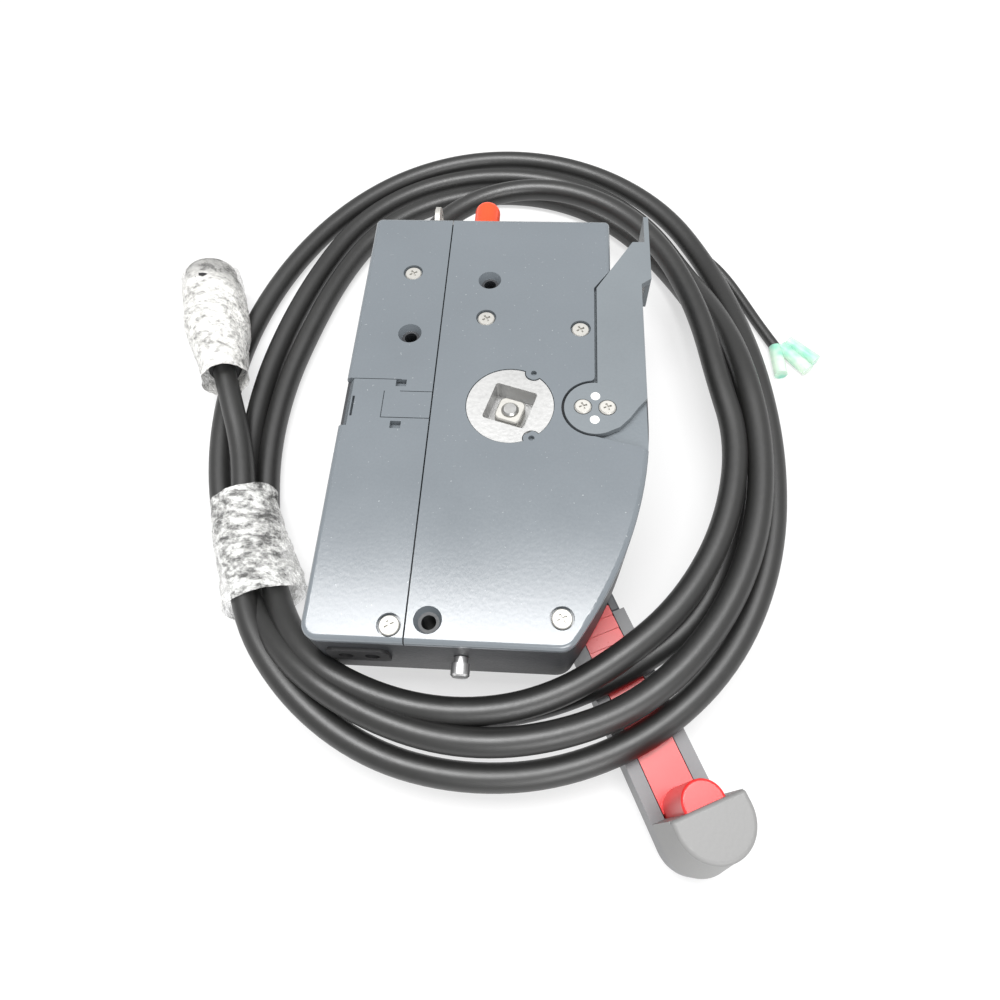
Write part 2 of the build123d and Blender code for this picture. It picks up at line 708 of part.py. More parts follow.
with BuildPart() as cam_plate:
    with BuildSketch(Plane.XY.offset(cam_z)):
        Circle(cam_r)
        with Locations((0, cam_r + 1.4)):
            Circle(3.6, mode=Mode.SUBTRACT)
        Circle(shaft_r, mode=Mode.SUBTRACT)
    extrude(amount=cam_t)
save(cam_plate.part, "cam_plate")

with BuildPart() as drive_gear:
    with BuildSketch(Plane.XY.offset(drive_z)):
        Circle(root_radius(drive_teeth))
        gear_teeth(drive_teeth, [360 / drive_teeth * k for k in range(drive_teeth)])
        Circle(shaft_r, mode=Mode.SUBTRACT)
    extrude(amount=drive_t)
save(drive_gear.part, "drive_gear")

with BuildPart() as friction_drum:
    with BuildSketch(Plane.XY.offset(drum_z)):
        Circle(drum_r)
        Circle(shaft_r, mode=Mode.SUBTRACT)
    extrude(amount=drum_t)
save(friction_drum.part, "friction_drum")


# ---------------------------------------------------------------- shift and throttle gears
def driven_gear(z, facing, arm_facing, tooth_offset):
    """Gear that swings one cable: teeth on the side facing the shaft, arm on the other."""
    pitch = 360 / driven_teeth
    teeth = [facing + pitch * (k + tooth_offset) for k in range(-5, 5)]
    with BuildSketch(Plane.XY.offset(z)) as sketch:
        Circle(root_radius(driven_teeth))
        gear_teeth(driven_teeth, teeth)
        with Locations(Location((0, 0, 0), (0, 0, arm_facing))):
            Rectangle(arm_reach, 10.0, align=(Align.MIN, Align.CENTER))
        turn = radians(arm_facing)
        with Locations((arm_reach * cos(turn), arm_reach * sin(turn))):
            Circle(5.0)
            Circle(cable_pin_r, mode=Mode.SUBTRACT)
        Circle(post_r + running, mode=Mode.SUBTRACT)
    return sketch.sketch


with BuildPart() as shift_gear:
    with Locations(Location((*shift_axis, 0))):
        add(driven_gear(shift_gear_z, 0, 180, 0.5))
    extrude(amount=driven_t)
save(shift_gear.part, "shift_gear")

with BuildPart() as throttle_gear:
    with Locations(Location((*throttle_axis, 0))):
        add(driven_gear(throttle_gear_z, 90, -90, 0))
    extrude(amount=driven_t)
save(throttle_gear.part, "throttle_gear")


def cable_pin(centre, gear_z, above):
    """Pin that takes a cable's end, riveted into a gear's arm."""
    with BuildPart() as pin:
        with BuildSketch(Plane.XY.offset(gear_z)):
            with Locations(centre):
                Circle(cable_pin_r)
        extrude(amount=driven_t + above)
        with BuildSketch(Plane.XY.offset(gear_z + driven_t + above)):
            with Locations(centre):
                Circle(cable_pin_r + 0.9)
        extrude(amount=0.8)
    return pin.part


shift_pin_place = (shift_axis[0] - arm_reach, shift_axis[1])
throttle_pin_place = (throttle_axis[0], throttle_axis[1] - arm_reach)
save(cable_pin(shift_pin_place, shift_gear_z, 6.0), "shift_cable_pin")
save(cable_pin(throttle_pin_place, throttle_gear_z, 4.0), "throttle_cable_pin")

# ---------------------------------------------------------------- friction brake and switches inside
guide_y = (-31.0, -19.0)

with BuildPart() as friction_guide:
    with BuildSketch(Plane.XY.offset(knob_z - 3.4)):
        with Locations((knob_x, sum(guide_y) / 2)):
            Rectangle(9.6, guide_y[1] - guide_y[0])
    extrude(amount=rim_z - knob_z + 3.4)
    with Locations(Location((knob_x, -25, knob_z), (90, 0, 0))):
        Cylinder(rod_r + running, 20, mode=Mode.SUBTRACT)
save(friction_guide.part, "friction_guide")

with BuildPart() as friction_shoe:
    with BuildSketch(Plane.XY.offset(drum_z + 0.1)):
        with Locations((-20.6, guide_y[1])):
            Rectangle(13.6, 14.0, align=(Align.MIN, Align.MIN))
        Circle(drum_r + fit, mode=Mode.SUBTRACT)
    extrude(amount=drum_t - 0.2)
save(friction_shoe.part, "friction_shoe")

with BuildPart() as neutral_switch:
    with BuildSketch(Plane.XY.offset(inner_z)):
        with Locations((0, 25.6)):
            Rectangle(20.0, 11.0)
    extrude(amount=11.0)
    with BuildSketch(Plane.XY.offset(cam_z + 0.4)):
        with Locations((0, 18.6)):
            Rectangle(3.0, 4.0)
    extrude(amount=cam_t - 0.8)
save(neutral_switch.part, "neutral_switch")

with BuildPart() as buzzer:
    with BuildSketch(Plane.XY.offset(inner_z)):
        with Locations((25, 102)):
            Circle(13)
    extrude(amount=18)
    with BuildSketch(Plane.XY.offset(inner_z + 18)):
        with Locations((25, 102)):
            Circle(3)
    extrude(amount=-4, mode=Mode.SUBTRACT)
save(buzzer.part, "buzzer")


def along_y(x, z, radius, near_y, far_y):
    """Cylinder along Y inside the current part."""
    with Locations(Location((x, near_y, z), (-90, 0, 0))):
        Cylinder(radius, far_y - near_y, align=(Align.CENTER, Align.CENTER, Align.MIN))


with BuildPart() as ignition_switch:
    along_y(key_x, key_z, key_barrel_r, top_y - wall - 26, top_y - wall)
    along_y(key_x, key_z, key_barrel_r - 1.5, top_y - wall, top_y + 6.5)
    along_y(key_x, key_z, key_barrel_r + 1.2, top_y, top_y + 2.6)
    chamfer(ignition_switch.edges().group_by(Axis.Y)[-1], 1.0)
save(ignition_switch.part, "ignition_switch")

key_face_y = top_y + 6.5
with BuildPart() as key:
    with BuildSketch(Plane(origin=(key_x, key_face_y, key_z), x_dir=(0, 1, 0), z_dir=(1, 0, 0))):
        with Locations((0.3, 0)):
            Rectangle(6.0, 7.0, align=(Align.MIN, Align.CENTER))
        with Locations((12.4, 0)):
            Circle(9.2)
        with Locations((17.5, 0)):
            Circle(2.0, mode=Mode.SUBTRACT)
    extrude(amount=1.5, both=True)
save(key.part, "key")

with BuildPart() as stop_switch_body:
    along_y(stop_x, stop_z, stop_button_r + 0.6, top_y - wall - 24, top_y - wall)
    along_y(stop_x, stop_z, stop_button_r - 0.3, top_y - wall, top_y)
    along_y(stop_x, stop_z, stop_button_r + 1.4, top_y, top_y + 3)
    along_y(stop_x, stop_z, 5.4, top_y + 3, top_y + 14)
save(stop_switch_body.part, "stop_switch_body")

stop_button_tip = top_y + 27.5
with BuildPart() as stop_button:
    along_y(stop_x, stop_z, stop_button_r, top_y + 8, stop_button_tip)
    fillet(stop_button.edges().group_by(Axis.Y)[-1], 5.0)
    with Locations(Location((stop_x, top_y + 8, stop_z), (-90, 0, 0))):
        Cylinder(5.4 + fit, 9.6, align=(Align.CENTER, Align.CENTER, Align.MIN), mode=Mode.SUBTRACT)
save(stop_button.part, "stop_button")

with BuildPart() as friction_knob:
    along_y(knob_x, knob_z, 3.4, bottom_y - 3.2, bottom_y - 0.4)
    along_y(knob_x, knob_z, knob_r, bottom_y - 9.0, bottom_y - 3.2)
    chamfer(friction_knob.edges().group_by(Axis.Y)[0], 0.8)
    with Locations(Location((knob_x, bottom_y - 9.0, knob_z), (-90, 0, 0))):
        Box(6.4, 1.0, 1.2, align=(Align.CENTER, Align.CENTER, Align.MIN), mode=Mode.SUBTRACT)
save(friction_knob.part, "friction_knob")

with BuildPart() as friction_rod:
    along_y(knob_x, knob_z, rod_r, bottom_y - 0.4, guide_y[1])
save(friction_rod.part, "friction_rod")

with BuildPart() as cable_grommet:
    grommet_plane = Plane(origin=(-62.0, bottom_y + wall, 52.0), x_dir=(1, 0, 0), z_dir=(0, -1, 0))
    with BuildSketch(grommet_plane):
        RectangleRounded(25.0, 13.0, 3.0)
    extrude(amount=wall)
    with BuildSketch(grommet_plane.offset(wall)):
        RectangleRounded(28.0, 16.0, 4.0)
    extrude(amount=1.6)
    with BuildSketch(grommet_plane.offset(wall + 1.6)):
        with Locations((-6, 0), (6, 0)):
            Circle(3.4)
    extrude(amount=-2.0, mode=Mode.SUBTRACT)
save(cable_grommet.part, "cable_grommet")

# ---------------------------------------------------------------- neutral-throttle lever
flap_bottom_z = cover_top_z - flap_t
flap_screw_places = [(36.3, 0.1), (48.4, -0.1)]
flap_pin_places = [(42.5, 6.6), (42.1, -7.4)]

with BuildPart() as neutral_throttle_lever:
    with BuildSketch(Plane.XY.offset(flap_bottom_z)):
        with BuildLine():
            Polyline((flap_left_x, flap_pivot[1] - 4.6), (flap_left_x, flap_shoulder_y), flap_slope_end,
                     (flap_tab_x, flap_slope_end[1]), (flap_tab_x, flap_tab_low_y), (flap_right_x, flap_neck_y),
                     *flap_lower_edge, close=True)
        make_face()
        with Locations(flap_pivot):
            Circle(flap_r)
    extrude(amount=flap_t)
    # bent tab that the fingers push
    with BuildSketch(Plane.XY.offset(cover_top_z)):
        with BuildLine():
            Polyline((flap_tab_x - flap_tab_bend, flap_tab_low_y), (flap_tab_x, flap_tab_low_y),
                     (flap_tab_x, flap_tab_high_y), (flap_tab_x - flap_tab_bend, flap_tab_high_y), close=True)
        make_face()
    extrude(amount=-flap_tab_depth)
    with BuildSketch(Plane.XY.offset(flap_bottom_z)):
        with Locations(*flap_screw_places):
            Circle(1.6)
        with Locations(*flap_pin_places):
            Circle(2.35)
    extrude(amount=flap_t, mode=Mode.SUBTRACT)
    with BuildSketch(Plane.XY.offset(cover_top_z)):
        with Locations(*flap_screw_places):
            Circle(4.6)
    extrude(amount=-1.0, mode=Mode.SUBTRACT)
save(neutral_throttle_lever.part, "neutral_throttle_lever")

with BuildPart() as flap_shaft:
    with BuildSketch(Plane.XY.offset(flap_bottom_z)):
        with Locations(flap_pivot):
            Circle(flap_flange_r)
    extrude(amount=-flap_flange_t)
    with BuildSketch(Plane.XY.offset(flap_bottom_z - flap_flange_t)):
        with Locations(flap_pivot):
            Circle(flap_shaft_r)
    extrude(amount=inner_z + 1.4 - flap_bottom_z + flap_flange_t)
    with BuildSketch(Plane.XY.offset(flap_bottom_z)):
        with Locations(*flap_screw_places):
            Circle(1.6)
        with Locations(*flap_pin_places):
            Circle(2.35)
    extrude(amount=-2.0, mode=Mode.SUBTRACT)
save(flap_shaft.part, "flap_shaft")

with BuildPart() as flap_screws:
    with BuildSketch(Plane.XY.offset(cover_top_z - 1.0)):
        with Locations(*flap_screw_places):
            Circle(4.2)
    extrude(amount=1.8)
    chamfer(flap_screws.faces().group_by(Axis.Z)[-1].edges(), 0.6)
    with BuildSketch(Plane.XY.offset(cover_top_z - 1.0)):
        with Locations(*flap_screw_places):
            Circle(1.6)
    extrude(amount=flap_bottom_z - 2.0 - cover_top_z + 1.0)
    with BuildSketch(Plane.XY.offset(cover_top_z + 0.8)):
        with Locations(*flap_screw_places):
            Rectangle(4.2, 1.0, rotation=20)
            Rectangle(1.0, 4.2, rotation=20)
    extrude(amount=-1.1, mode=Mode.SUBTRACT)
save(flap_screws.part, "flap_screws")

with BuildPart() as flap_pins:
    with BuildSketch(Plane.XY.offset(flap_bottom_z - 2.0)):
        with Locations(*flap_pin_places):
            Circle(2.35)
    extrude(amount=flap_t + 2.0)
save(flap_pins.part, "flap_pins")

with BuildPart() as idle_cam:
    with BuildSketch(Plane.XY.offset(31.6)):
        with Locations(flap_pivot):
            Circle(8.0)
        with Locations((flap_pivot[0] - 14.0, flap_pivot[1] - 6.0)):
            Circle(3.4)
        with BuildLine():
            Polyline((flap_pivot[0], flap_pivot[1] + 8), (flap_pivot[0] - 15.4, flap_pivot[1] - 2.9),
                     (flap_pivot[0] - 12.6, flap_pivot[1] - 9.1), (flap_pivot[0], flap_pivot[1] - 8), close=True)
        make_face()
        with Locations(flap_pivot):
            Circle(flap_shaft_r, mode=Mode.SUBTRACT)
    extrude(amount=4.0)
save(idle_cam.part, "idle_cam")

# ---------------------------------------------------------------- harness
boot_dir = Vector(sin(radians(boot_turn)), cos(radians(boot_turn)), 0)
boot_base = Vector(boot_x, top_y, boot_z)
boot_end = boot_base + boot_dir * boot_length

with BuildPart() as harness_boot:
    for distance, radius in ((-6.0, 9.6), (boot_length, 7.4)):
        with BuildSketch(Plane(origin=boot_base + boot_dir * distance, x_dir=(0, 0, 1), z_dir=boot_dir)):
            Circle(radius)
    loft()
    with Locations(Location((boot_x, top_y, boot_z))):
        Box(60, 40, 60, align=(Align.CENTER, Align.MAX, Align.CENTER), mode=Mode.SUBTRACT)
    along_y(boot_x, boot_z, cord_r + 1.5, top_y - wall - 4, top_y + 1)
    along_y(boot_x, boot_z, cord_r + 3.0, top_y - wall - 4, top_y - wall)
save(harness_boot.part, "harness_boot")

start_route = [
    (boot_end.X, boot_end.Y, boot_end.Z), (-57.6, 162.6, 36.0), (-46.1, 177.8, 36.0), (-28.6, 191.0, 36.5),
    (-5.9, 198.8, 37.0), (20.1, 198.8, 37.5), (46.4, 189.2, 38.0), (70.0, 170.8, 38.0),
    (88.0, 145.7, 38.0), (100.5, 115.5, 38.0), (109.0, 83.0, 38.4), (114.0, 46.0, 38.6),
]
lead_route = [(-148.0, -36.0, 18.9), (-152.0, -16.0, 18.9), (-159.0, 7.0, 19.6), (-168.6, 30.0, 22.6),
              (-177.5, 52.0, 24.6)]
trim_route = [(117.0, 174.5, 9.0), (128.0, 165.0, 7.0), (137.5, 152.0, 5.5), (146.0, 135.0, 4.4),
              (154.5, 115.0, 4.0), (163.0, 97.0, 4.0)]


def corner_radii(route, floor_radius):
    """Bend radius at each inner corner of a route."""
    radii = []
    for before, here, after in zip(route, route[1:], route[2:]):
        run_in = Vector(*here) - Vector(*before)
        run_out = Vector(*after) - Vector(*here)
        turn = radians(run_in.get_angle(run_out))
        radii.append(0.45 * min(run_in.length, run_out.length) / tan(turn / 2))
    for radius in radii:
        if radius < floor_radius:
            print("tight bend", round(radius, 1))
    return radii


def cord(route, radius):
    """Tube along a route of straight runs joined by tangent arcs."""
    radii = corner_radii(route, 5 * 2 * radius)
    with BuildPart() as tube:
        with BuildLine() as path:
            FilletPolyline(*route, radius=radii)
        with BuildSketch(Plane(origin=path.line @ 0, z_dir=path.line % 0)):
            Circle(radius)
        sweep(path=path.line)
    length = path.wires()[0].length
    expected = pi * radius**2 * length
    print("cord length", round(length), "radii", [round(r) for r in radii],
          "volume ratio", round(tube.part.volume / expected, 3))
    return tube.part


save(cord(start_route, cord_r), "harness_start")
save(cord(lead_route, cord_r), "connector_lead")
save(cord(trim_route, trim_lead_r), "trim_lead")


def coil_point(angle, inset):
    """Point of the coil at an angle from -Y towards +X, drawn in from its outer turn."""
    turn = radians(angle)
    bulge = coil_bulge * max(0.0, cos(turn - radians(35.0))) ** 2
    across = coil_half_x - inset + bulge
    along = coil_half_y - inset + bulge
    return (coil_centre[0] + across * sin(turn), coil_centre[1] - along * cos(turn))


def coil_face(inset):
    """Closed face inside the coil's outline."""
    points = [coil_point(angle, inset) for angle in range(0, 360, 10)]
    with BuildSketch() as sketch:
        with BuildLine():
            Spline(*points, periodic=True)
        make_face()
    return sketch.sketch


coil_outer = coil_face(-cord_r)
coil_inner = coil_face(46.0)


def sector(start, end):
    """Wedge about the hub axis between two angles from -Y towards +X."""
    reach = 2 * coil_half_y
    steps = [start + (end - start) * k / 6 for k in range(7)]
    with BuildSketch() as sketch:
        Polygon((0, 0), *[(reach * sin(radians(a)), -reach * cos(radians(a))) for a in steps], align=None)
    return sketch.sketch


clear_box = box_outline(-2.5)
ramp_angle = 24.0

with BuildPart() as harness_coil:
    with BuildSketch():
        add(coil_outer)
        add(coil_inner, mode=Mode.SUBTRACT)
        add(sector(raised_from, raised_to), mode=Mode.SUBTRACT)
    extrude(amount=low_top_z)
    # blocks at both ends of the raised turns, which carry them
    for start, end in ((raised_from - ramp_angle / 2, raised_from), (raised_to, raised_to + ramp_angle / 2)):
        with BuildSketch(Plane.XY.offset(low_top_z)):
            add(coil_outer)
            add(coil_inner, mode=Mode.SUBTRACT)
            add(sector(start, end), mode=Mode.INTERSECT)
            add(clear_box, mode=Mode.SUBTRACT)
        extrude(amount=raised_top_z - low_top_z)
    for start, end in ((raised_from - ramp_angle, raised_from - ramp_angle / 2),
                       (raised_to + ramp_angle / 2, raised_to + ramp_angle)):
        with BuildSketch(Plane.XY.offset(low_top_z)):
            add(coil_outer)
            add(coil_inner, mode=Mode.SUBTRACT)
            add(sector(start, end), mode=Mode.INTERSECT)
            add(clear_box, mode=Mode.SUBTRACT)
        extrude(amount=(raised_top_z - low_top_z) / 2)
    # hollow that the connector and its lead lie in
    with BuildSketch(Plane.XY.offset(12.5)):
        with Locations(Location((-165.0, 25.0, 0), (0, 0, 20.5))):
            Rectangle(60, 180, align=(Align.CENTER, Align.MIN))
    extrude(amount=30, mode=Mode.SUBTRACT)
save(harness_coil.part, "harness_coil")

with BuildPart() as harness_coil_raised:
    # turns that lie over the lever's arm
    with BuildSketch(Plane.XY.offset(raised_bottom_z)):
        add(coil_outer)
        add(coil_inner, mode=Mode.SUBTRACT)
        add(sector(raised_from, raised_to), mode=Mode.INTERSECT)
        add(clear_box, mode=Mode.SUBTRACT)
    extrude(amount=raised_top_z - raised_bottom_z)
print("coil solids", len(harness_coil.part.solids()), len(harness_coil_raised.part.solids()))
save(harness_coil_raised.part, "harness_coil_raised")

connector_base = Vector(*lead_route[-1])
connector_tip = Vector(-207.5, 132.0, 19.4)
connector_dir = (connector_tip - connector_base).normalized()
connector_steps = [(0.0, 20.0, 8.6, 10.2), (20.0, 34.0, 11.4, 13.4), (34.0, 72.0, 17.6, 18.2), (72.0, 85.0, 16.4, 16.4)]

with BuildPart() as harness_connector:
    for near, far, near_r, far_r in connector_steps:
        for distance, radius in ((near, near_r), (far, far_r)):
            with BuildSketch(Plane(origin=connector_base + connector_dir * distance, z_dir=connector_dir)):
                Circle(radius)
        loft()
    with BuildSketch(Plane(origin=connector_base + connector_dir * 85.0, z_dir=connector_dir)):
        Circle(14.0)
    extrude(amount=-9.0, mode=Mode.SUBTRACT)
    with BuildSketch(Plane(origin=connector_base + connector_dir * 76.0, z_dir=connector_dir)):
        Circle(10.5)
    extrude(amount=6.0)
save(harness_connector.part, "harness_connector")

sleeve_ends = [((163.0, 96.6), (164.2, 75.0)), ((166.8, 97.0), (181.2, 79.0)), ((171.4, 101.4), (187.0, 86.4))]
with BuildPart() as bullet_connectors:
    for (start_x, start_y), (end_x, end_y) in sleeve_ends:
        direction = Vector(end_x - start_x, end_y - start_y, 0).normalized()
        length = sqrt((end_x - start_x) ** 2 + (end_y - start_y) ** 2)
        with BuildSketch(Plane(origin=(start_x, start_y, 4.0), z_dir=direction)):
            Circle(3.9)
        extrude(amount=length)
save(bullet_connectors.part, "bullet_connectors")
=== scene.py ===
"""Dressed view of the boat throttle control: materials, harness, film, lights and camera."""
import bpy
import bmesh
import json
from math import cos, pi, radians, sin
from mathutils import Matrix, Vector, noise


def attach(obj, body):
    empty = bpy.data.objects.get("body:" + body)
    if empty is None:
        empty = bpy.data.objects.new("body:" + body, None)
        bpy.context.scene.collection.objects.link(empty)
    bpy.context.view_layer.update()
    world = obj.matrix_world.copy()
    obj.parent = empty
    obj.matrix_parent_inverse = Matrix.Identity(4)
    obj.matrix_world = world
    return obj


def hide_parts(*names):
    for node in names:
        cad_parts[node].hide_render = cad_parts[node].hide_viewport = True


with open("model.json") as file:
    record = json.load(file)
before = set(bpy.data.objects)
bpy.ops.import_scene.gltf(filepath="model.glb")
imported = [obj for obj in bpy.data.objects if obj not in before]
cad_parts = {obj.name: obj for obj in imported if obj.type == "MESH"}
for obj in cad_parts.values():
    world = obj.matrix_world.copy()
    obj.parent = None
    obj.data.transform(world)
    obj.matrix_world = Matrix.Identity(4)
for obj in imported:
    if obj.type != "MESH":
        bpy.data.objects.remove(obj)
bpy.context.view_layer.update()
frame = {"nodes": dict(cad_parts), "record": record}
nodes = frame["nodes"]
scene = bpy.context.scene


# ------------------------------------------------------------------ node helpers
class Shader:
    """A material's node tree, built from short calls."""

    def __init__(self, name):
        self.material = bpy.data.materials.new(name)
        self.material.use_nodes = True
        self.tree = self.material.node_tree
        self.out = self.tree.nodes["Material Output"]
        self.base = self.tree.nodes["Principled BSDF"]
        self.coords = self.tree.nodes.new("ShaderNodeTexCoord")

    def node(self, kind, **values):
        item = self.tree.nodes.new(kind)
        for key, value in values.items():
            if hasattr(item, key):
                setattr(item, key, value)
            else:
                item.inputs[key.replace("_", " ")].default_value = value
        return item

    def link(self, source, target):
        self.tree.links.new(source, target)

    def noise(self, scale, detail=3.0, roughness=0.55, stretch=None):
        texture = self.node("ShaderNodeTexNoise", Scale=scale, Detail=detail, Roughness=roughness)
        source = self.coords.outputs["Object"]
        if stretch:
            mapping = self.node("ShaderNodeMapping", Scale=stretch)
            self.link(source, mapping.inputs["Vector"])
            source = mapping.outputs["Vector"]
        self.link(source, texture.inputs["Vector"])
        return texture.outputs["Fac"]

    def cells(self, scale, feature="F1"):
        texture = self.node("ShaderNodeTexVoronoi", Scale=scale, feature=feature)
        self.link(self.coords.outputs["Object"], texture.inputs["Vector"])
        return texture.outputs["Distance"]

    def ramp(self, source, stops):
        ramp = self.node("ShaderNodeValToRGB")
        elements = ramp.color_ramp.elements
        while len(elements) < len(stops):
            elements.new(0.5)
        for element, (place, colour) in zip(elements, stops):
            element.position = place
            element.color = (*colour, 1.0) if len(colour) == 3 else colour
        self.link(source, ramp.inputs["Fac"])
        return ramp.outputs["Color"]

    def span(self, source, low, high, start=0.0, end=1.0):
        item = self.node("ShaderNodeMapRange")
        item.inputs["From Min"].default_value = start
        item.inputs["From Max"].default_value = end
        item.inputs["To Min"].default_value = low
        item.inputs["To Max"].default_value = high
        self.link(source, item.inputs["Value"])
        return item.outputs["Result"]

    def add(self, first, second, operation="ADD"):
        item = self.node("ShaderNodeMath", operation=operation)
        self.link(first, item.inputs[0])
        if isinstance(second, (int, float)):
            item.inputs[1].default_value = second
        else:
            self.link(second, item.inputs[1])
        return item.outputs["Value"]

    def bump(self, height, strength, distance):
        item = self.node("ShaderNodeBump", Strength=strength, Distance=distance)
        self.link(height, item.inputs["Height"])
        self.link(item.outputs["Normal"], self.base.inputs["Normal"])

    def set(self, **values):
        for key, value in values.items():
            self.base.inputs[key.replace("_", " ")].default_value = value


def shade(colour, factor):
    """The colour made lighter or darker."""
    return tuple(min(1.0, channel * factor) for channel in colour)


def plain(name, colour, rough=(0.35, 0.5), metallic=0.0, grain=900.0, bump=0.15, depth=0.0002,
          tone=0.12, cells=0.0, stretch=None, blotch=14.0, **extra):
    """Material with slow colour change, fine grain and uneven gloss."""
    shader = Shader(name)
    slow = shader.noise(blotch, 4.0)
    fine = shader.noise(grain, 3.0, 0.6, stretch)
    mixed = shader.add(shader.add(slow, 0.65, "MULTIPLY"), shader.add(fine, 0.35, "MULTIPLY"))
    colours = shader.ramp(mixed, [(0.3, shade(colour, 1 - tone)), (0.7, shade(colour, 1 + tone))])
    shader.link(colours, shader.base.inputs["Base Color"])
    shader.link(shader.span(mixed, rough[0], rough[1], 0.3, 0.7), shader.base.inputs["Roughness"])
    height = fine
    if cells:
        height = shader.add(shader.add(shader.cells(cells, "SMOOTH_F1"), 1.0, "MULTIPLY"),
                            shader.add(fine, 0.5, "MULTIPLY"))
    shader.bump(height, bump, depth)
    shader.set(Metallic=metallic, **extra)
    return shader.material


def sleeve_material():
    """Clear sleeve over a connector, pale with uneven green patches."""
    shader = Shader("sleeve_green")
    slow = shader.noise(75.0, 2.0)
    colours = shader.ramp(slow, [(0.36, (0.36, 0.76, 0.60)), (0.58, (0.80, 0.94, 0.80))])
    shader.link(colours, shader.base.inputs["Base Color"])
    shader.link(shader.span(slow, 0.18, 0.30), shader.base.inputs["Roughness"])
    shader.set(Transmission_Weight=0.35, IOR=1.3)
    return shader.material


def paint_over(material, mask, colour):
    """Show another colour over a material's own where the mask is 1."""
    links = material.node_tree.links
    base = material.node_tree.nodes["Principled BSDF"].inputs["Base Color"]
    paint = base.links[0].from_socket
    mix = material.node_tree.nodes.new("ShaderNodeMix")
    mix.data_type = "RGBA"
    factor, first, second = mix.inputs[0], mix.inputs[6], mix.inputs[7]
    second.default_value = (*colour, 1.0)
    links.new(mask, factor)
    links.new(paint, first)
    links.new(mix.outputs[2], base)


def object_place(material):
    """Output of a material's place in its object."""
    coords = next(item for item in material.node_tree.nodes if item.type == "TEX_COORD")
    return coords.outputs["Object"]


def dusted(name, colour, rough, **extra):
    """Painted cover with a few pale specks of dust."""
    material = plain(name, colour, rough, cells=520.0, bump=0.12, depth=0.00014, tone=0.05, **extra)
    tree = material.node_tree
    grains = tree.nodes.new("ShaderNodeTexNoise")
    grains.inputs["Scale"].default_value = 760.0
    grains.inputs["Detail"].default_value = 2.0
    tree.links.new(object_place(material), grains.inputs["Vector"])
    ramp = tree.nodes.new("ShaderNodeValToRGB")
    ramp.color_ramp.elements[0].position = 0.72
    ramp.color_ramp.elements[1].position = 0.77
    tree.links.new(grains.outputs["Fac"], ramp.inputs["Fac"])
    paint_over(material, ramp.outputs["Color"], (0.30, 0.32, 0.33))
    return material


def painted_deck(material, colour, low, high):
    """Show the stretch of a material between two corners, in metres, in another colour."""
    tree = material.node_tree
    axes = tree.nodes.new("ShaderNodeSeparateXYZ")
    tree.links.new(object_place(material), axes.inputs["Vector"])
    inside = None
    for axis, near, far in zip("XYZ", low, high):
        within = tree.nodes.new("ShaderNodeMath")
        within.operation = "COMPARE"
        tree.links.new(axes.outputs[axis], within.inputs[0])
        within.inputs[1].default_value = (near + far) / 2
        within.inputs[2].default_value = (far - near) / 2
        if inside is None:
            inside = within.outputs["Value"]
            continue
        both = tree.nodes.new("ShaderNodeMath")
        both.operation = "MULTIPLY"
        tree.links.new(inside, both.inputs[0])
        tree.links.new(within.outputs["Value"], both.inputs[1])
        inside = both.outputs["Value"]
    paint_over(material, inside, colour)


mats = {
    "cover_grey": dusted("cover_grey", (0.148, 0.167, 0.184), (0.17, 0.25), Specular_IOR_Level=0.95),
    "sleeve_green": sleeve_material(),
    "housing_black": plain("housing_black", (0.030, 0.032, 0.036), (0.38, 0.55), cells=620.0, bump=0.35,
                           depth=0.0002),
    "cover_grey_dark": plain("cover_grey_dark", (0.165, 0.184, 0.198), (0.3, 0.42), cells=520.0, bump=0.16,
                             depth=0.00016, tone=0.06),
    "bright_steel": plain("bright_steel", (0.50, 0.49, 0.46), (0.42, 0.54), 0.55, 700.0, 0.12, 0.0001, 0.10),
    "cast_alloy": plain("cast_alloy", (0.50, 0.50, 0.495), (0.36, 0.50), 0.7, 500.0, 0.35, 0.0002, 0.10),
    "arm_metal": plain("arm_metal", (0.090, 0.095, 0.105), (0.36, 0.5), cells=500.0, bump=0.2, depth=0.0002),
    "arm_grey": plain("arm_grey", (0.185, 0.186, 0.192), (0.36, 0.48), cells=700.0, bump=0.2, depth=0.0002,
                      tone=0.05),
    "grip_grey": plain("grip_grey", (0.225, 0.224, 0.222), (0.42, 0.55), cells=700.0, bump=0.22, depth=0.0002,
                       tone=0.05),
    "signal_red": plain("signal_red", (0.74, 0.026, 0.026), (0.24, 0.34), bump=0.06, depth=0.0001, tone=0.06),
    "stop_red": plain("stop_red", (0.86, 0.075, 0.020), (0.30, 0.42), bump=0.06, depth=0.0001, tone=0.05),
    "steel": plain("steel", (0.55, 0.55, 0.54), (0.25, 0.42), 1.0, 600.0, 0.2, 0.0001, 0.1,
                   stretch=(1, 1, 0.06)),
    "knob_silver": plain("knob_silver", (0.84, 0.84, 0.84), (0.25, 0.38), 1.0, 600.0, 0.15, 0.0001, 0.05),
    "bearing_plastic": plain("bearing_plastic", (0.78, 0.78, 0.75), (0.35, 0.5), tone=0.05),
    "gear_metal": plain("gear_metal", (0.30, 0.29, 0.28), (0.35, 0.55), 1.0, 500.0, 0.3, 0.0002, 0.15),
    "black_plastic": plain("black_plastic", (0.020, 0.020, 0.021), (0.35, 0.5), cells=600.0, bump=0.2),
    "rubber_black": plain("rubber_black", (0.016, 0.016, 0.017), (0.5, 0.68), bump=0.25),
    "cable_black": plain("cable_black", (0.014, 0.014, 0.0135), (0.36, 0.48), grain=420.0, bump=0.12,
                         depth=0.0003, tone=0.15, Specular_IOR_Level=0.8),
}

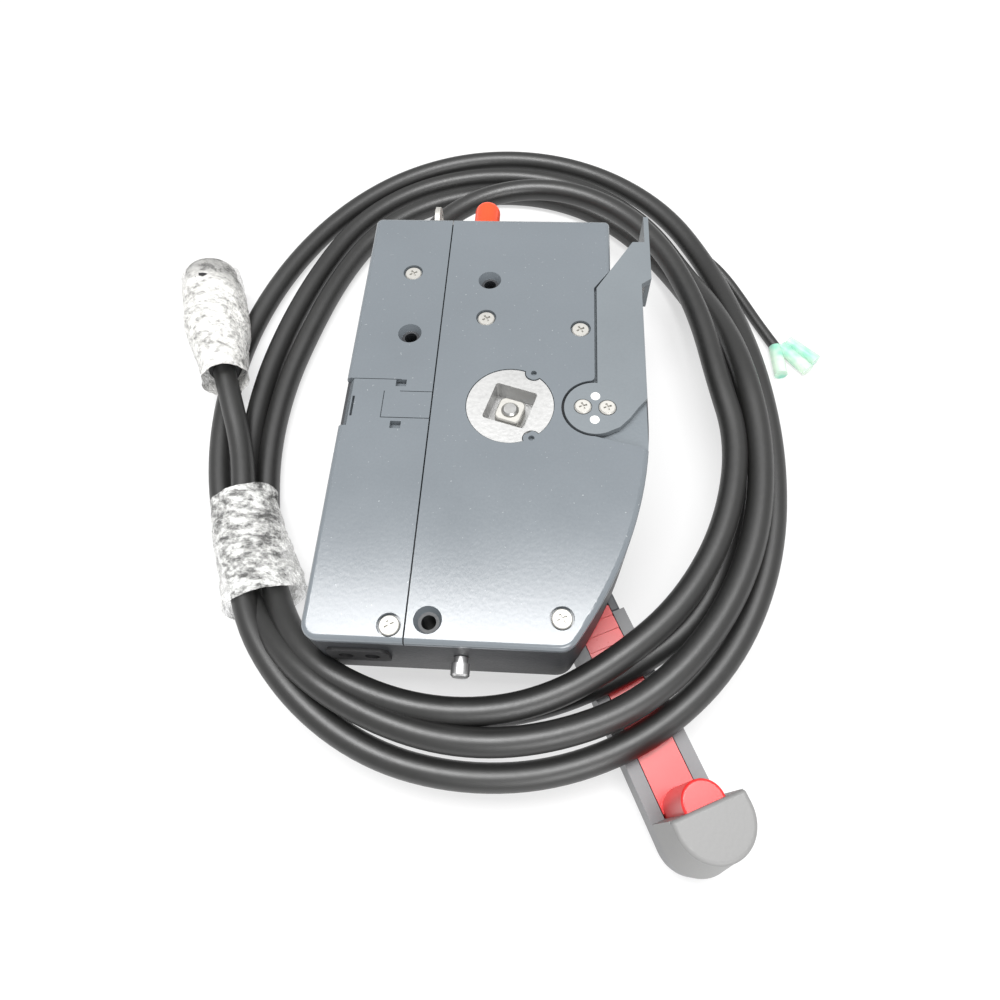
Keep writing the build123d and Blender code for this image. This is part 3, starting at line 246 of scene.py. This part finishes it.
# the housing's deck below the neutral-throttle lever is painted like the covers
painted_deck(mats["housing_black"], (0.150, 0.170, 0.186), (0.040, -0.036, 0.0664), (0.0684, 0.098, 0.0700))


def film_material(name, veil_and_glint_cover, milk_and_glint_white, thin_from=None):
    """Clear stretched film: a milky veil with fine white glints painted into its cover as painted highlights,
    and see-through patches along its creases.
    """
    shader = Shader(name)
    creases = shader.noise(95.0, 5.0, 0.62, (1.1, 2.0, 1.8))
    fine = shader.noise(420.0, 4.0, 0.65, (0.7, 1.2, 1.4))
    both = shader.add(shader.add(creases, 0.62, "MULTIPLY"), shader.add(fine, 0.38, "MULTIPLY"))
    shader.bump(both, 1.0, 0.005)
    low, middle, high = veil_and_glint_cover
    # the highest stop gives the densest white patches, both the milky film and its painted glints (painted
    # highlights)
    cover = shader.ramp(both, [(0.38, (low,) * 3), (0.48, (middle,) * 3), (0.56, (high,) * 3)])
    if thin_from:
        # stretched thin over the connector's far end, along Y
        axes = shader.node("ShaderNodeSeparateXYZ")
        shader.link(shader.coords.outputs["Object"], axes.inputs["Vector"])
        start, end = thin_from
        cover = shader.add(cover, shader.span(axes.outputs["Y"], 1.0, 0.45, start, end), "MULTIPLY")
    shader.link(cover, shader.base.inputs["Alpha"])
    # one white serves the milky film and its painted glints
    shader.set(Base_Color=(*milk_and_glint_white, 1.0), Roughness=0.16, Specular_IOR_Level=0.9, IOR=1.45)
    return shader.material


# each film's white and cover levels include its painted glints (painted highlights)
tie_wrap = film_material("tie_film", (0.10, 0.45, 0.92), (0.88, 0.88, 0.86))
bag = film_material("connector_film", (0.34, 0.78, 0.97), (0.92, 0.91, 0.88), (0.112, 0.124))

for entry in frame["record"]["subparts"]:
    part = nodes[entry["node"]]
    part.data.materials.clear()
    part.data.materials.append(mats[entry["material_slot"]])


# ------------------------------------------------------------------ harness
def mm(points):
    """Points given in millimetres, in metres."""
    return [tuple(value / 1000 for value in point) for point in points]


def cord_curve(name, points, radius):
    """Round cord along a smooth line."""
    curve = bpy.data.curves.new(name, "CURVE")
    curve.dimensions = "3D"
    spline = curve.splines.new("NURBS")
    spline.points.add(len(points) - 1)
    for point, place in zip(spline.points, points):
        point.co = (*place, 1.0)
    spline.order_u = 3
    spline.use_endpoint_u = True
    spline.resolution_u = 8
    curve.bevel_depth = radius
    curve.bevel_resolution = 7
    curve.use_fill_caps = True
    curve.materials.append(mats["cable_black"])
    item = bpy.data.objects.new(name, curve)
    scene.collection.objects.link(item)
    return item


coil_centre = (-15.5, 54.0)
coil_half_x = 164.0
coil_half_y = 217.8
coil_bulge = 11.0
coil_bulge_turn = radians(35.0)      # where the turns bulge most, over the lever
floor_height = 6.4                   # a strand's centre where it lies on the floor
lower_pass_height = 28.2             # and over the lever's arm, for the lower and the upper turns
upper_pass_height = 38.5
raised_from, raised_to = -34, 92     # angles between which the turns are held up
fall_before, fall_after = 22, 30     # angles over which they come down again on either side
tail_start, tail_height, tail_fall = -1100, 31.0, 0.12
coil_first, coil_last, coil_step = 75, -1131, 15
cord_radius = 0.0066
trim_radius = 0.00325

# how far each stretch of the coil lies inside the outermost turn, by its angle in degrees from -Y towards +X;
# the harness runs through the angles from the first to the last
coil_marks = [
    (75, 28.5), (60, 26.5), (45, 28.2), (30, 31.4), (15, 28.9), (0, 25.8), (-15, 21.0), (-32, 14.0),
    (-60, 24.0), (-90, 33.5), (-105, 37.5), (-120, 36.0), (-135, 32.0), (-150, 34.0), (-165, 38.0), (-180, 40.0),
    (-195, 38.0), (-210, 34.0), (-240, 27.0), (-270, 28.5), (-285, 26.5), (-300, 22.0), (-315, 18.0),
    (-330, 27.0), (-345, 29.0), (-360, 26.5), (-375, 20.0), (-392, 11.0), (-435, 16.5), (-450, 19.5),
    (-470, 22.0), (-500, 14.0), (-540, 21.0), (-585, 17.0), (-600, 20.0), (-615, 23.5), (-630, 22.5),
    (-645, 15.5), (-660, 10.5), (-675, 9.0), (-690, 9.3), (-705, 12.8), (-720, 13.2), (-735, 12.3),
    (-752, 8.5), (-790, -1.4), (-810, -2.5), (-855, -1.0), (-900, 1.8), (-945, -2.0), (-960, 2.0),
    (-975, 10.5), (-990, 11.5), (-1005, 6.0), (-1020, -0.8), (-1035, -4.5), (-1050, -3.6), (-1065, -1.4),
    (-1080, -0.4), (-1095, -1.8), (-1112, -1.5), (-1130, 2.0),
]


def marked(angle):
    """Inset of the coil at an angle, eased between the marks."""
    for (first, low), (second, high) in zip(coil_marks, coil_marks[1:]):
        if second <= angle <= first:
            part = (first - angle) / (first - second)
            part = part * part * (3 - 2 * part)
            return low + (high - low) * part
    return coil_marks[-1][1]


def raised(angle):
    """1 where the turns lie over the lever's arm, 0 where they lie on the table."""
    turn = (angle + 180) % 360 - 180
    if turn > raised_to:
        part = 1 - (turn - raised_to) / fall_after
    elif turn < raised_from:
        part = 1 - (raised_from - turn) / fall_before
    else:
        part = 1.0
    part = max(0.0, min(1.0, part))
    return part * part * (3 - 2 * part)


def coil_place(angle):
    """Point of the coil's line, in millimetres."""
    turn = radians(angle)
    bulge = coil_bulge * max(0.0, cos(turn - coil_bulge_turn)) ** 2
    inset = marked(angle)
    x = coil_centre[0] + (coil_half_x - inset + bulge) * sin(turn)
    y = coil_centre[1] - (coil_half_y - inset + bulge) * cos(turn)
    lower_pass = int((180 - angle) // 360) % 2 == 1
    high = lower_pass_height if lower_pass else upper_pass_height
    height = floor_height + (high - floor_height) * raised(angle)
    if angle < tail_start:
        height = tail_height - (tail_start - angle) * tail_fall
    return (x, y, height)


start_route = [
    (-63.9, 149.0, 36.0), (-57.6, 162.6, 36.0), (-46.1, 177.8, 36.0), (-28.6, 191.0, 36.5),
    (-5.9, 198.8, 37.0), (20.1, 198.8, 37.5), (46.4, 189.2, 38.0), (70.0, 170.8, 38.0),
    (88.0, 145.7, 38.0), (100.5, 115.5, 38.0), (109.0, 83.0, 38.4), (114.0, 46.0, 38.6),
]
lead_route = [(-141.0, -58.0, 20.5), (-148.0, -36.0, 18.9), (-152.0, -16.0, 18.9), (-159.0, 7.0, 19.6),
              (-168.6, 30.0, 22.6), (-177.5, 52.0, 24.6)]
trim_route = [(117.0, 174.5, 9.0), (128.0, 165.0, 7.0), (137.5, 152.0, 5.5), (146.0, 135.0, 4.4),
              (154.5, 115.0, 4.0), (163.0, 97.0, 4.0)]

coil_route = [coil_place(angle) for angle in range(coil_first, coil_last, -coil_step)]
harness = cord_curve("harness", mm(start_route + coil_route + lead_route), cord_radius)
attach(harness, "box")
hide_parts("harness_start", "harness_coil", "harness_coil_raised", "connector_lead")

trim = cord_curve("trim_cable", mm(trim_route), trim_radius)
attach(trim, "box")
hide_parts("trim_lead")


# ------------------------------------------------------------------ clear film
def film_sleeve(name, rings, radius_at, film, around=72):
    """Crinkled sleeve of film: rings is a list of (centre, side, up) frames along it."""
    mesh = bmesh.new()
    loops = []
    for row, (centre, side, up) in enumerate(rings):
        loop = []
        for step in range(around):
            turn = 2 * pi * step / around
            reach = radius_at(row / (len(rings) - 1), turn)
            place = centre + side * (cos(turn) * reach[0]) + up * (sin(turn) * reach[1])
            wrinkle = noise.noise(place * 120.0) * 0.0011 + noise.noise(place * 330.0) * 0.0006
            place += (place - centre).normalized() * wrinkle
            place.z = max(place.z, 0.0003)
            loop.append(mesh.verts.new(place))
        loops.append(loop)
    for near, far in zip(loops, loops[1:]):
        for step in range(around):
            after = (step + 1) % around
            mesh.faces.new((near[step], near[after], far[after], far[step]))
    data = bpy.data.meshes.new(name)
    mesh.to_mesh(data)
    mesh.free()
    for face in data.polygons:
        face.use_smooth = True
    data.materials.append(film)
    item = bpy.data.objects.new(name, data)
    scene.collection.objects.link(item)
    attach(item, "box")


def straight_rings(start, end, count):
    """Frames spaced along a straight axis."""
    axis = (end - start).normalized()
    side = axis.cross(Vector((0, 0, 1))).normalized()
    up = side.cross(axis)
    return [(start.lerp(end, k / (count - 1)), side, up) for k in range(count)]


connector_base = Vector((-0.1775, 0.052, 0.0246))
connector_tip = Vector((-0.2075, 0.132, 0.0194))
connector_axis = (connector_tip - connector_base).normalized()

film_length = 0.094          # along the connector
film_overhang = 0.008        # how far it reaches over the cord
neck_length = 0.034          # where it widens from the cord to the shell
neck_radius = 0.0138
shell_radius = 0.0192
taper_from = 0.080           # where it draws in towards the open end


def connector_film(part, turn):
    """Radius of the film over the connector's steps."""
    along = part * film_length - film_overhang
    reach = neck_radius + (shell_radius - neck_radius) * min(1.0, max(0.0, along) / neck_length)
    if along > taper_from:
        reach -= (along - taper_from) * 0.5
    return (reach, reach * 0.97)


bag_rings = straight_rings(connector_base - connector_axis * film_overhang,
                           connector_tip + connector_axis * 0.001, 56)
film_sleeve("connector_film", bag_rings, connector_film, bag)


tie_start = Vector((-0.1512, -0.0285, 0.0138))
tie_end = Vector((-0.1262, -0.0915, 0.0175))
tie_half_width, tie_half_height = 0.0186, 0.0136
tie_widening, tie_rise = 0.0004, 0.0040      # gained from its start to its end
tie_loose_edge, tie_loose_from = 0.0085, 0.25


def tie_film(part, turn):
    """Half width and half height of the film round the strands it ties, with a loose edge on the inside."""
    loose = tie_loose_edge * max(0.0, part - tie_loose_from) * max(0.0, -cos(turn)) ** 2
    return (tie_half_width + tie_widening * part + loose, tie_half_height + tie_rise * part)


tie_rings = straight_rings(tie_start, tie_end, 60)
film_sleeve("tie_film", tie_rings, tie_film, tie_wrap, 96)


# ------------------------------------------------------------------ stage, lights, camera
def white_floor():
    """Pale floor that shows near white to the camera and keeps a soft part of the object's shadow."""
    shader = Shader("floor_white")
    shader.set(Base_Color=(0.84, 0.84, 0.84, 1), Roughness=0.9)
    glow = shader.node("ShaderNodeEmission", Strength=1.0)
    glow.inputs["Color"].default_value = (1, 1, 1, 1)
    rays = shader.node("ShaderNodeLightPath")
    seen = shader.add(rays.outputs["Is Camera Ray"], rays.outputs["Is Glossy Ray"], "MAXIMUM")
    seen = shader.add(seen, rays.outputs["Is Transmission Ray"], "MAXIMUM")
    seen = shader.add(seen, 0.62, "MULTIPLY")
    mix = shader.node("ShaderNodeMixShader")
    shader.link(seen, mix.inputs["Fac"])
    shader.link(shader.base.outputs["BSDF"], mix.inputs[1])
    shader.link(glow.outputs["Emission"], mix.inputs[2])
    shader.link(mix.outputs["Shader"], shader.out.inputs["Surface"])
    return shader.material


floor_mesh = bpy.data.meshes.new("floor")
span = 3.0
floor_mesh.from_pydata([(-span, -span, 0), (span, -span, 0), (span, span, 0), (-span, span, 0)], [],
                       [(0, 1, 2, 3)])
floor_mesh.materials.append(white_floor())
floor = bpy.data.objects.new("floor", floor_mesh)
scene.collection.objects.link(floor)

world = bpy.data.worlds.new("studio")
scene.world = world
world.use_nodes = True
world.node_tree.nodes["Background"].inputs["Color"].default_value = (1, 1, 1, 1)
world.node_tree.nodes["Background"].inputs["Strength"].default_value = 0.55


def area_light(name, place, target, size, power):
    """Soft rectangular lamp aimed at a point, or straight down without one."""
    lamp = bpy.data.lights.new(name, "AREA")
    lamp.shape = "RECTANGLE"
    lamp.size = size[0]
    lamp.size_y = size[1]
    lamp.energy = power
    item = bpy.data.objects.new(name, lamp)
    item.location = place
    if target:
        item.rotation_euler = (Vector(target) - Vector(place)).to_track_quat("-Z", "Y").to_euler()
    scene.collection.objects.link(item)


area_light("key", (-0.08, 0.06, 1.25), None, (1.1, 0.46), 20.0)
area_light("fill", (0.45, -0.95, 0.75), (0.05, -0.1, 0), (0.7, 0.5), 7.0)

camera = bpy.data.objects.new("camera", bpy.data.cameras.new("camera"))
camera.data.sensor_width = 36.0
camera.data.lens = 24.77
right = Vector((0.9979, 0.0557, -0.0329))
forward = Vector((-0.0544, 0.4491, -0.8918)).normalized()
right = (right - forward * right.dot(forward)).normalized()
up = right.cross(forward)
camera.matrix_world = Matrix(((right.x, up.x, -forward.x, 0.01542), (right.y, up.y, -forward.y, -0.19687),
                              (right.z, up.z, -forward.z, 0.35696), (0, 0, 0, 1)))
camera.data.clip_start = 0.01
scene.collection.objects.link(camera)
scene.camera = camera
scene.view_settings.view_transform = "Standard"
